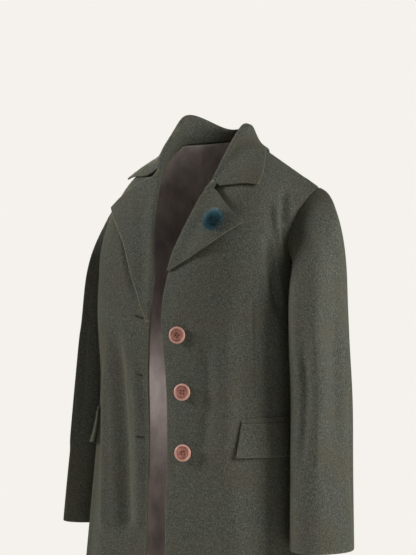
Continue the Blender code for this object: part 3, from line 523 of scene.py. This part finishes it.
# after the route come half the width and the depth, metres; a negative depth is a trough
panelCreases = {
    "left": [
        crease(byPixel("left_front", (284, 188), (284.5, 206), (284, 228)), 0.012, -0.0075),
        crease(byPixel("left_front", (275, 196), (276, 222), (279, 246), (283, 276)), 0.012, 0.0085),
        crease(byPixel("left_front", (268, 226), (271, 255), (276, 288), (282, 322)), 0.017, -0.0125),
        crease(byPixel("left_front", (252.5, 296), (252.8, 350), (253, 404)), 0.0044, -0.0022, ends=0.12),
        crease(byPixel("left_front", (256, 300), (256.2, 350), (256.5, 404)), 0.0044, 0.0008, ends=0.12),
        crease(byPixel("left_front", (222, 300), (226, 360), (222, 430), (214, 500)), 0.034, 0.0050),
        crease(byPixel("left_front", (204, 330), (206, 400), (200, 480)), 0.022, -0.0036),
    ],
    "right": [
        crease(byPixel("right_front", (118, 219), (123, 236), (128, 270), (134, 290), (142, 309)),
               0.009, -0.0040),
        crease(byPixel("right_front", (112, 310), (117, 380), (121, 450), (123, 520)),
               0.028, -0.0115, toHem=True),
        crease(byPixel("right_front", (104, 340), (105, 400), (104, 470), (103, 520)),
               0.020, 0.0055, toHem=True),
        crease(byPixel("right_front", (130, 345), (137, 400), (139, 460), (140, 520)),
               0.018, 0.0050, toHem=True),
    ],
    "back": [
        crease(fromAzimuth("back", 180, (-0.145, -0.3), (-0.130, -0.55), (-0.135, -0.8), (-0.140, -0.995)),
               0.026, -0.0060, toHem=True),
        crease(fromAzimuth("back", 180, (-0.085, -0.42), (-0.080, -0.70), (-0.088, -0.995)),
               0.030, 0.0060, toHem=True),
        crease(fromAzimuth("back", 180, (-0.030, -0.52), (-0.034, -0.75), (-0.036, -0.995)),
               0.022, -0.0050, toHem=True),
        crease(fromAzimuth("back", 180, (0.045, -0.46), (0.052, -0.72), (0.050, -0.995)),
               0.026, 0.0050, toHem=True),
        crease(fromAzimuth("back", 180, (0.098, -0.33), (0.092, -0.60), (0.104, -0.82), (0.110, -0.995)),
               0.024, -0.0060, toHem=True),
        crease(fromAzimuth("back", 180, (0.150, -0.16), (0.140, -0.24), (0.120, -0.33)), 0.016, -0.0040),
        crease(fromAzimuth("back", 180, (-0.150, -0.15), (-0.143, -0.22), (-0.125, -0.30)), 0.016, -0.0036),
        # the middle seam
        crease(fromAzimuth("back", 180, (0.0, 0.02), (0.0, -0.30), (0.0, -0.65), (0.0, -0.995)),
               0.0040, -0.0014, ends=0.02, toHem=True),
    ],
}
bodyCreases = [line for lines in panelCreases.values() for line in lines]

sleeveCreases = {
    "left": [
        crease(byPixel("left_sleeve", (312, 300), (318, 340), (323, 387), (321, 430), (319, 470)),
               0.024, 0.0066),
        crease(byPixel("left_sleeve", (332, 310), (334, 345), (335, 400), (334, 450)), 0.021, -0.0056),
        crease(byPixel("left_sleeve", (345, 330), (348, 365), (349, 405)), 0.013, 0.0032),
        crease(byPixel("left_sleeve", (300, 330), (305, 380), (304, 430), (301, 480)), 0.014, -0.0046),
        crease(roundSleeve("left", 110, (-0.004, -0.20), (0.004, -0.35), (-0.006, -0.50), (0.0, -0.66)),
               0.014, -0.0046),
        crease(roundSleeve("left", 150, (0.012, -0.26), (0.018, -0.42), (0.010, -0.60)), 0.013, 0.0036),
        crease(roundSleeve("left", 200, (-0.006, -0.24), (0.004, -0.38), (-0.004, -0.54)), 0.012, -0.0032),
        crease(roundSleeve("left", -60, (0.004, -0.28), (-0.004, -0.40), (0.006, -0.55)), 0.012, -0.0034),
    ],
    "right": [
        crease(byPixel("right_sleeve", (91, 292), (86, 340), (83, 390), (80, 440)), 0.010, -0.0034),
        crease(byPixel("right_sleeve", (86, 300), (80, 360), (76, 430)), 0.009, 0.0026),
        crease(roundSleeve("right", -60, (0.004, -0.24), (0.012, -0.38), (0.0, -0.52), (0.004, -0.66)),
               0.014, -0.0050),
        crease(roundSleeve("right", -100, (-0.008, -0.22), (-0.016, -0.38), (-0.004, -0.54)),
               0.015, 0.0040),
        crease(roundSleeve("right", -150, (0.004, -0.24), (0.010, -0.40), (0.0, -0.60)), 0.013, -0.0042),
        crease(roundSleeve("right", 60, (0.0, -0.26), (0.006, -0.40), (0.0, -0.56)), 0.012, -0.0034),
    ],
}
print("coat: creases placed")

# the lapel's top is drawn up to the collar's end, by this much, and this far down the roll
gorgeSetup = {
    "left": (0.0018, 0.0030, 0.0012),
    "right": (-0.0010, 0.0030, 0.0010),
    "reach": 0.013,
    "across": 0.45,    # distance across counts for less than distance down
    "topBand": 0.006,  # the roll's end is looked for in this much of the top
}
footSetup = {"length": 0.040, "keep": 0.42}  # the foot of the roll is pressed down to the panel
liftSetup = {"height": 0.0042, "start": 0.008, "full": 0.045}  # away from its roll a lapel stands off
lapelPaintedEdgeLight = {"left": 0.25, "right": 1.0}  # the far lapel's edge gets the strongest painted highlight, where it would catch the light
rollLines = {
    "left": byPixel("left_lapel", (208, 203), (200, 214), (192, 228), (182, 248)),
    "right": byPixel("right_lapel", (157, 190), (154, 215), (152, 245), (150, 290)),
}


def lapelShaped(side):
    panel = treeOf(side + "_front")
    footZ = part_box(side + "_lapel")[0].z

    def shape(co):
        gaps = np.min(np.linalg.norm(co[:, None, :] - rollLines[side][None, :, :], axis=2), axis=1)
        rise = np.clip((gaps - liftSetup["start"]) / (liftSetup["full"] - liftSetup["start"]), 0, 1)
        co += outFromBody(co) * (eased(rise) * liftSetup["height"])[:, None]
        tops = co[co[:, 2] > co[:, 2].max() - gorgeSetup["topBand"]]
        rollEnd = tops[np.argmin(abs(tops[:, 0]))]
        away = (co - rollEnd) * np.array((gorgeSetup["across"], gorgeSetup["across"], 1.0))
        near = np.clip(1 - np.linalg.norm(away, axis=1) / gorgeSetup["reach"], 0, 1)
        co += eased(near)[:, None] * np.array(gorgeSetup[side])
        for i, p in enumerate(co):
            down = 1 - (p[2] - footZ) / footSetup["length"]
            if down > 0:
                spot = panel.find_nearest(Vector(co[i]))[0]
                keep = 1 - (1 - footSetup["keep"]) * eased(down)
                co[i] = np.array(spot.lerp(Vector(co[i]), keep))
        return co
    return shape


def woolPiece(node, name, **settings):
    return clothPiece(node, name, coatWool, "wool", **settings)


def liningPiece(node, name):
    return clothPiece(node, name, liningSatin, "lining", levels=2, lines=bodyCreases)


cloth = {}
for side in ("left", "right"):
    cloth[side + "Front"] = woolPiece(side + "_front", side + "Front", sewnTo=["back", side + "_sleeve"],
                                      lines=bodyCreases)
    cloth[side + "Sleeve"] = woolPiece(side + "_sleeve", side + "Sleeve", sewnTo=[side + "_front", "back"],
                                       lines=sleeveCreases[side], out=outFromSleeve(side))
    cloth[side + "Lapel"] = woolPiece(side + "_lapel", side + "Lapel", tight=0.55, worn=lapelPaintedEdgeLight[side],
                                      loose=lapelShaped(side))
    cloth[side + "Facing"] = woolPiece(side + "_facing", side + "Facing", levels=2, lines=bodyCreases)
    cloth[side + "FrontLining"] = liningPiece(side + "_front_lining", side + "FrontLining")
    cloth[side + "Flap"] = woolPiece(side + "_pocket_flap", side + "Flap", tight=0.6, lines=bodyCreases)
    cloth[side + "Welt"] = woolPiece(side + "_pocket_welt", side + "Welt", tight=0.5, lines=bodyCreases)
cloth["back"] = woolPiece("back", "backPanel", lines=bodyCreases,
                          sewnTo=["left_front", "right_front", "left_sleeve", "right_sleeve"])
cloth["backLining"] = liningPiece("back_lining", "backLining")
cloth["collar"] = woolPiece("collar", "collarCloth", tight=0.55)

# the gorge seam: the cloth that joins the collar's end to the lapel's top, around this place at the roll
seamSetup = {
    "left": (0.0620, -0.0870, -0.0600),
    "right": (-0.0580, -0.0870, -0.0335),
    "reach": 0.0115,
    "merge": 0.0006,
}


def gorgeSeam(side):
    middle, bm = np.array(seamSetup[side]), bmesh.new()
    for piece in ("collar", side + "Lapel"):
        co = points(cloth[piece].data)
        for p in co[np.linalg.norm(co - middle, axis=1) < seamSetup["reach"]]:
            bm.verts.new(p)
    bmesh.ops.convex_hull(bm, input=bm.verts)
    bmesh.ops.delete(bm, geom=[v for v in bm.verts if not v.link_faces], context="VERTS")
    bmesh.ops.remove_doubles(bm, verts=bm.verts, dist=seamSetup["merge"])
    bmesh.ops.recalc_face_normals(bm, faces=bm.faces)
    joined = finishedMesh(side + "GorgeSeam", bm, 0)
    joined.data.materials.append(coatWool)
    setShare(joined.data, "edgeLight", [0.0] * len(joined.data.vertices))
    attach(joined, "root")


for side in ("left", "right"):
    gorgeSeam(side)

print("coat: cloth pieces made")

# buttons: turned discs with four drilled holes, each on a wound foot of thread
buttonSetup = {
    "radius": 0.0148,
    "steps": 48,
    "turns": (45, 3, -4),   # degrees, one for each button
    "tip": -13.0,           # degrees that each button tips outwards on its foot
    "profile": [  # distance from the middle and height, from the dished face round to the underside
        (0.0, 0.0026), (0.0070, 0.0024), (0.0094, 0.0025), (0.0102, 0.0029), (0.0106, 0.0040),
        (0.0114, 0.0046), (0.0126, 0.0046), (0.0139, 0.0040), (0.0146, 0.0030), (0.0148, 0.0022),
        (0.0145, 0.0013), (0.0134, 0.0005), (0.0112, 0.0), (0.0, 0.0)],
    "edgeAngle": 42.0,      # edges sharper than this stay crisp
    "holeRadius": 0.00155,
    "holeOut": 0.0034,      # from the middle to a hole's middle
    "holeSides": 20,
    "drillDepth": 0.02,
    "footRadius": 0.0046,
    "footRidge": 0.0003,    # each second turn of the thread stands out by this much
    "footHeight": 0.0024,
    "footWinds": 7,
    "footGap": 0.0008,      # room below the foot's middle, because it is tipped
    "strandTop": 0.0016,    # how high the strands fill a hole
    "threadRadius": 0.00024,
    "threadApart": 0.00032,
    "threadLevel": 0.0018,  # where the thread across the face comes out of a hole
    "threadBow": 0.0013,
}


def frameOf(node):
    co = points(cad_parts[node].data)
    middle = (co.min(0) + co.max(0)) / 2
    _, _, axes = np.linalg.svd(co - co.mean(0), full_matrices=False)
    normal = Vector(axes[2])
    if normal.y > 0:
        normal = -normal
    down = Vector((0, 0, -1))
    down = (down - normal * down.dot(normal)).normalized()
    across = down.cross(normal)
    heights = (co - middle) @ np.array(normal)
    return Vector(middle), across, down, normal, heights.min()


def placeIt(across, down, normal, origin):
    return Matrix.Translation(origin) @ Matrix((across, -down, normal)).transposed().to_4x4()


def spun(profile, steps):
    bm = bmesh.new()
    chain = [bm.verts.new((r, 0, h)) for r, h in profile]
    edges = [bm.edges.new(pair) for pair in zip(chain, chain[1:])]
    bmesh.ops.spin(bm, geom=chain + edges, cent=(0, 0, 0), axis=(0, 0, 1), angle=2 * math.pi,
                   steps=steps, use_merge=True)
    bmesh.ops.remove_doubles(bm, verts=bm.verts, dist=1e-6)
    bmesh.ops.recalc_face_normals(bm, faces=bm.faces)
    return bm


def rodBetween(bm, a, b, radius, sides=8, bow=0.0, segments=6):
    line = [a.lerp(b, i / segments) + Vector((0, 0, bow * math.sin(math.pi * i / segments)))
            for i in range(segments + 1)]
    way = (b - a).normalized()
    one = way.orthogonal().normalized()
    ring = None
    for i, spot in enumerate(line):
        made = [bm.verts.new(spot + (one * math.cos(t) + way.cross(one) * math.sin(t)) * radius)
                for t in (2 * math.pi * k / sides for k in range(sides))]
        if ring:
            for k in range(sides):
                bm.faces.new((ring[k], ring[(k + 1) % sides], made[(k + 1) % sides], made[k]))
        else:
            bm.faces.new(made[::-1])
        ring = made
    bm.faces.new(ring)


def solidOf(name, bm, matrix, material, replaces=()):
    bm.transform(matrix)
    mesh = bpy.data.meshes.new(name)
    bm.to_mesh(mesh)
    bm.free()
    made = bpy.data.objects.new(name, mesh)
    bpy.context.scene.collection.objects.link(made)
    mesh.shade_smooth()
    mesh.materials.append(material)
    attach(made, "root")
    if replaces:
        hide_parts(*replaces)
    return made


def drilled(body, holes):
    bm = bmesh.new()
    for hole in holes:
        bmesh.ops.create_cone(bm, cap_ends=True, segments=buttonSetup["holeSides"],
                              radius1=buttonSetup["holeRadius"], radius2=buttonSetup["holeRadius"],
                              depth=buttonSetup["drillDepth"], matrix=Matrix.Translation(hole))
    mesh = bpy.data.meshes.new("drill")
    bm.to_mesh(mesh)
    bm.free()
    drill = bpy.data.objects.new("drill", mesh)
    bpy.context.scene.collection.objects.link(drill)
    cut = body.modifiers.new("holes", "BOOLEAN")
    cut.operation, cut.solver, cut.object = "DIFFERENCE", "EXACT", drill
    made = bpy.data.meshes.new_from_object(body.evaluated_get(bpy.context.evaluated_depsgraph_get()))
    body.modifiers.clear()
    bpy.data.objects.remove(drill)
    return made


def footThread(holes):
    height, winds = buttonSetup["footHeight"], buttonSetup["footWinds"]
    profile = [(0.0, 0.0001)]
    profile += [(buttonSetup["footRadius"] + buttonSetup["footRidge"] * (i % 2), -height * i / winds)
                for i in range(winds + 1)]
    profile += [(0.0, -height)]
    bm = spun(profile, 24)
    for hole in holes:  # the strands that fill it, near-black so that the hole reads dark: painted shade
        rodBetween(bm, hole, hole + Vector((0, 0, buttonSetup["strandTop"])),
                   buttonSetup["holeRadius"] * 0.95, sides=12, segments=1)
    return bm


def faceThread(holes, crosswise):
    bm = bmesh.new()
    level = Vector((0, 0, buttonSetup["threadLevel"]))
    for a, b in ((0, 2), (1, 3)) if crosswise else ((0, 3), (1, 2)):
        for shift in (-buttonSetup["threadApart"], buttonSetup["threadApart"]):
            off = (holes[b] - holes[a]).normalized().cross(Vector((0, 0, 1))) * shift + level
            rodBetween(bm, holes[a] + off, holes[b] + off, buttonSetup["threadRadius"],
                       bow=buttonSetup["threadBow"])
    return bm


def makeButton(number):
    node = f"button_{number}"
    middle, across, down, normal, low = frameOf(node)
    turn = Matrix.Rotation(math.radians(buttonSetup["turns"][number - 1]), 4, "Z")
    tip = Matrix.Rotation(math.radians(buttonSetup["tip"]), 4, "Y")
    base = middle + normal * (low + buttonSetup["footHeight"] + buttonSetup["footGap"])
    matrix = placeIt(across, down, normal, base) @ tip @ turn
    holes = [Vector((x, y, 0)) * buttonSetup["holeOut"] / math.sqrt(2)
             for x, y in ((1, 1), (-1, 1), (-1, -1), (1, -1))]
    body = solidOf(node + "Body", spun(buttonSetup["profile"], buttonSetup["steps"]), Matrix(),
                   buttonPlastic, (node,))
    body.data = drilled(body, holes)
    co = points(body.data)
    setShare(body.data, "rimShare", np.hypot(co[:, 0], co[:, 1]) / buttonSetup["radius"])
    body.data.transform(matrix)
    body.data.shade_smooth()
    sharpen = body.modifiers.new("edges", "EDGE_SPLIT")
    sharpen.split_angle = math.radians(buttonSetup["edgeAngle"])
    # the foot and the strands in the holes are near-black: painted shade in the holes
    solidOf(node + "Foot", footThread(holes), matrix, paintedShadeThread, (node,))
    solidOf(node + "Thread", faceThread(holes, number == 1), matrix, buttonThread, (node,))


for number in (1, 2, 3):
    makeButton(number)
print("coat: buttons made")

# buttonholes: short slits, each worked round in twist the colour of the cloth, with a dark lens of painted
# shade in the slit
holeSetup = {
    "places": [(139, 317), (140, 375), (141, 437)],  # pixels
    "drop": (0.30, 0.22, 0.08),  # how far the outer end hangs, as a share of the length
    "halfLength": 0.0085,
    "stitches": 15,              # in each row
    "stitchLength": 0.0021,
    "stitchRadius": 0.00034,
    "rowOut": 0.52,              # from the slit to a row's middle, as a share of the stitch
    "barStitches": 5,            # across each end
    "barOut": 1.07,              # where a bar lies, as a share of the half length
    "barEvery": 0.0006,
    "barSize": (0.0009, 0.0004, 0.0005),
    "slitShare": 0.96,
    "slitWidth": 0.00062,
    "slitHeight": 0.00028,
}


def bead(bm, place, size, subdivisions=1):
    bmesh.ops.create_icosphere(bm, subdivisions=subdivisions, radius=1,
                               matrix=Matrix.Translation(place) @ Matrix.Diagonal((*size, 1)))


def makeButtonhole(number, carrier):
    px, py = holeSetup["places"][number]
    spot, normal, _, _ = carrier.ray_cast(cameraPlace, pixelRay(cameraSetup, px, py))
    if normal.dot(cameraPlace - spot) < 0:
        normal = -normal
    across = Vector((0, 0, 1)).cross(normal).normalized()
    along = (across - Vector((0, 0, 1)) * holeSetup["drop"][number]).normalized()
    along = (along - normal * along.dot(normal)).normalized()
    matrix = Matrix.Translation(spot) @ Matrix((along, normal.cross(along), normal)).transposed().to_4x4()
    half, count, radius = holeSetup["halfLength"], holeSetup["stitches"], holeSetup["stitchRadius"]
    rowOut = holeSetup["stitchLength"] * holeSetup["rowOut"]
    bm = bmesh.new()
    for row in (-1, 1):
        for i in range(count):
            bead(bm, (half * (2 * i / (count - 1) - 1), row * rowOut, 0.0001),
                 (radius * 1.5, holeSetup["stitchLength"] / 2, radius))
    for end in (-1, 1):
        for i in range(holeSetup["barStitches"]):
            place = (i - (holeSetup["barStitches"] - 1) / 2) * holeSetup["barEvery"]
            bead(bm, (end * half * holeSetup["barOut"], place, 0.0002), holeSetup["barSize"])
    solidOf(f"buttonhole{number + 1}Stitches", bm, matrix, stitchThread)
    # the slit: a flat dark lens on the cloth, painted shade where the slit opens
    slit = bmesh.new()
    bead(slit, (0, 0, 0.00012),
         (half * holeSetup["slitShare"], holeSetup["slitWidth"], holeSetup["slitHeight"]), subdivisions=2)
    solidOf(f"buttonhole{number + 1}SlitShade", slit, matrix, paintedShadeThread)


rightCloth = treeOfMesh(cloth["rightFront"].data)
for number in range(3):
    makeButtonhole(number, rightCloth)
print("coat: buttonholes worked")

# brooch: a dome with straight dyed hairs that stand out all round
broochSetup = {
    "hairs": 1500,
    "core": 0.0098,         # radius of the dome
    "rise": 0.0066,
    "shortest": 0.0095,
    "longest": 0.0165,
    "topLength": 0.55,      # hairs in the middle are this much as long as those at the side
    "hairRadius": 0.00026,  # real hairs are 0.1 mm, drawn coarser so that they show
    "tipShare": 0.12,       # how thick a tip is
    "rootDepth": 0.94,      # where a hair starts, as a share of the dome
    "spread": 96.0,         # degrees from the middle to the lowest hairs
    "sway": 0.16,
}


def broochDome():
    bm = bmesh.new()
    radius, rise = broochSetup["core"], broochSetup["rise"]
    bmesh.ops.create_uvsphere(bm, u_segments=32, v_segments=16, radius=1,
                              matrix=Matrix.Diagonal((radius, radius, rise, 1)))
    bmesh.ops.bisect_plane(bm, geom=bm.verts[:] + bm.edges[:] + bm.faces[:],
                           plane_co=(0, 0, 0.0002), plane_no=(0, 0, 1), clear_inner=True)
    bmesh.ops.holes_fill(bm, edges=[e for e in bm.edges if e.is_boundary], sides=0)
    return bm


def makeBrooch():
    chance = random.Random(4)
    middle, across, down, normal, low = frameOf("brooch")
    matrix = placeIt(across, down, normal, middle + normal * low)
    radius, rise = broochSetup["core"], broochSetup["rise"]
    roots = Matrix.Diagonal((radius, radius, rise)) * broochSetup["rootDepth"]
    bm = broochDome()
    along = [0.0] * len(bm.verts)
    for i in range(broochSetup["hairs"]):
        tilt = math.radians(broochSetup["spread"]) * math.sqrt((i + 0.5) / broochSetup["hairs"])
        turn = i * math.pi * (3 - math.sqrt(5))
        way = Vector((math.sin(tilt) * math.cos(turn), math.sin(tilt) * math.sin(turn),
                      max(math.cos(tilt), -0.02)))
        root = roots @ way
        way += Vector([chance.uniform(-1, 1) * broochSetup["sway"] for _ in range(3)])
        way.z = max(way.z, 0.03)
        way.normalize()
        length = chance.uniform(broochSetup["shortest"], broochSetup["longest"])
        length *= broochSetup["topLength"] + (1 - broochSetup["topLength"]) * math.sin(tilt)
        stand = way.to_track_quat("Z", "Y").to_matrix().to_4x4()
        made = bmesh.ops.create_cone(bm, cap_ends=False, segments=3, depth=length,
                                     radius1=broochSetup["hairRadius"],
                                     radius2=broochSetup["hairRadius"] * broochSetup["tipShare"],
                                     matrix=Matrix.Translation(root + way * length / 2) @ stand)["verts"]
        tip = root + way * length
        along += [1.0 if (v.co - tip).length < length / 2 else 0.0 for v in made]
    brooch = solidOf("broochHair", bm, matrix, broochHair, ("brooch",))
    setShare(brooch.data, "alongHair", along)


makeBrooch()
print("coat: brooch made")

# light, floor and backdrop
lightSetup = {
    # name: azimuth and elevation that it comes from, distance, size, power, colour
    "key": (-60.0, 22.0, 2.0, 0.45, 49.0, "fffefc"),
    "sleeve": (88.0, 20.0, 2.2, 0.9, 46.0, "fffdf8"),
    "fill": (50.0, -4.0, 2.6, 1.1, 9.0, "fffdf8"),
    "edge": (-134.0, 28.0, 2.2, 0.6, 32.0, "faf5d6"),
}
cardSetup = {  # black cards, each square to the lamp that it shades
    "farSleeveCard": {"lamp": "key", "middle": (-0.70, -0.250, -0.42), "width": 0.34, "height": 0.95},
    "chestCard": {"lamp": "sleeve", "middle": (0.62, -0.290, 0.01), "width": 0.26, "height": 0.40},
}
insideGlow = {  # stands for light thrown back on the lining
    "place": (0.0, 0.02, -0.42),
    "aim": (-0.05, 0.4, -0.50),
    "size": 0.16,
    "power": 0.42,
    "colour": "fffcfa",
}
roomSetup = {"wall": "f5f2ed", "ambient": 0.17, "paint": "e9e6e0", "floorZ": -1.42, "floorRadius": 3.0}


def makeLight(name, place, aim, size, power, colour):
    data = bpy.data.lights.new(name, "AREA")
    data.size, data.energy, data.color = size, power, linear(colour)[:3]
    lamp = bpy.data.objects.new(name, data)
    bpy.context.scene.collection.objects.link(lamp)
    lamp.location = place
    lamp.rotation_mode = "QUATERNION"
    lamp.rotation_quaternion = (Vector(aim) - Vector(place)).to_track_quat("-Z", "Y")
    return lamp


lightAim = Vector((0.0, 0.0, -0.4))
for name, (azimuth, elevation, distance, size, power, colour) in lightSetup.items():
    az, el = math.radians(azimuth), math.radians(elevation)
    way = Vector((math.sin(az) * math.cos(el), -math.cos(az) * math.cos(el), math.sin(el)))
    makeLight(name, lightAim + way * distance, lightAim, size, power, colour)
velvet, _, velvetShader = newMaterial("black velvet card", {"Roughness": 1.0})
velvetShader.inputs["Base Color"].default_value = linear("0c0c0c")


def makeCard(name, setup):
    turn = Matrix.Rotation(math.radians(lightSetup[setup["lamp"]][0]), 4, "Z")
    stand = turn @ Matrix.Rotation(math.pi / 2, 4, "X")
    size = Matrix.Diagonal((setup["width"], setup["height"], 1, 1))
    bm = bmesh.new()
    bmesh.ops.create_grid(bm, x_segments=1, y_segments=1, size=0.5,
                          matrix=Matrix.Translation(setup["middle"]) @ stand @ size)
    mesh = bpy.data.meshes.new(name)
    bm.to_mesh(mesh)
    bm.free()
    mesh.materials.append(velvet)
    card = bpy.data.objects.new(name, mesh)
    bpy.context.scene.collection.objects.link(card)
    card.visible_camera = False


for name, setup in cardSetup.items():
    makeCard(name, setup)
glow = makeLight("inside", **insideGlow)
glow.visible_camera = False

world = bpy.data.worlds.new("studio")
bpy.context.scene.world = world
world.use_nodes = True
background = world.node_tree.nodes["Background"]
background.inputs["Color"].default_value = linear(roomSetup["wall"])
seen = addNode(world.node_tree, "ShaderNodeLightPath").outputs["Is Camera Ray"]
strength = addNode(world.node_tree, "ShaderNodeMapRange", None,
                   {"Value": seen, "To Min": roomSetup["ambient"], "To Max": 1.0})
world.node_tree.links.new(strength.outputs["Result"], background.inputs["Strength"])

floorPaint, _, floorShader = newMaterial("studio floor, matt paint", {"Roughness": 0.9})
floorShader.inputs["Base Color"].default_value = linear(roomSetup["paint"])
floorShape = bmesh.new()
bmesh.ops.create_circle(floorShape, cap_ends=True, segments=96, radius=roomSetup["floorRadius"],
                        matrix=Matrix.Translation((0, 0, roomSetup["floorZ"])))
floorMesh = bpy.data.meshes.new("floor")
floorShape.to_mesh(floorMesh)
floorShape.free()
floorMesh.materials.append(floorPaint)
floor = bpy.data.objects.new("floor", floorMesh)
bpy.context.scene.collection.objects.link(floor)
bpy.context.scene.view_settings.view_transform = "Standard"
print("coat: light and floor made")
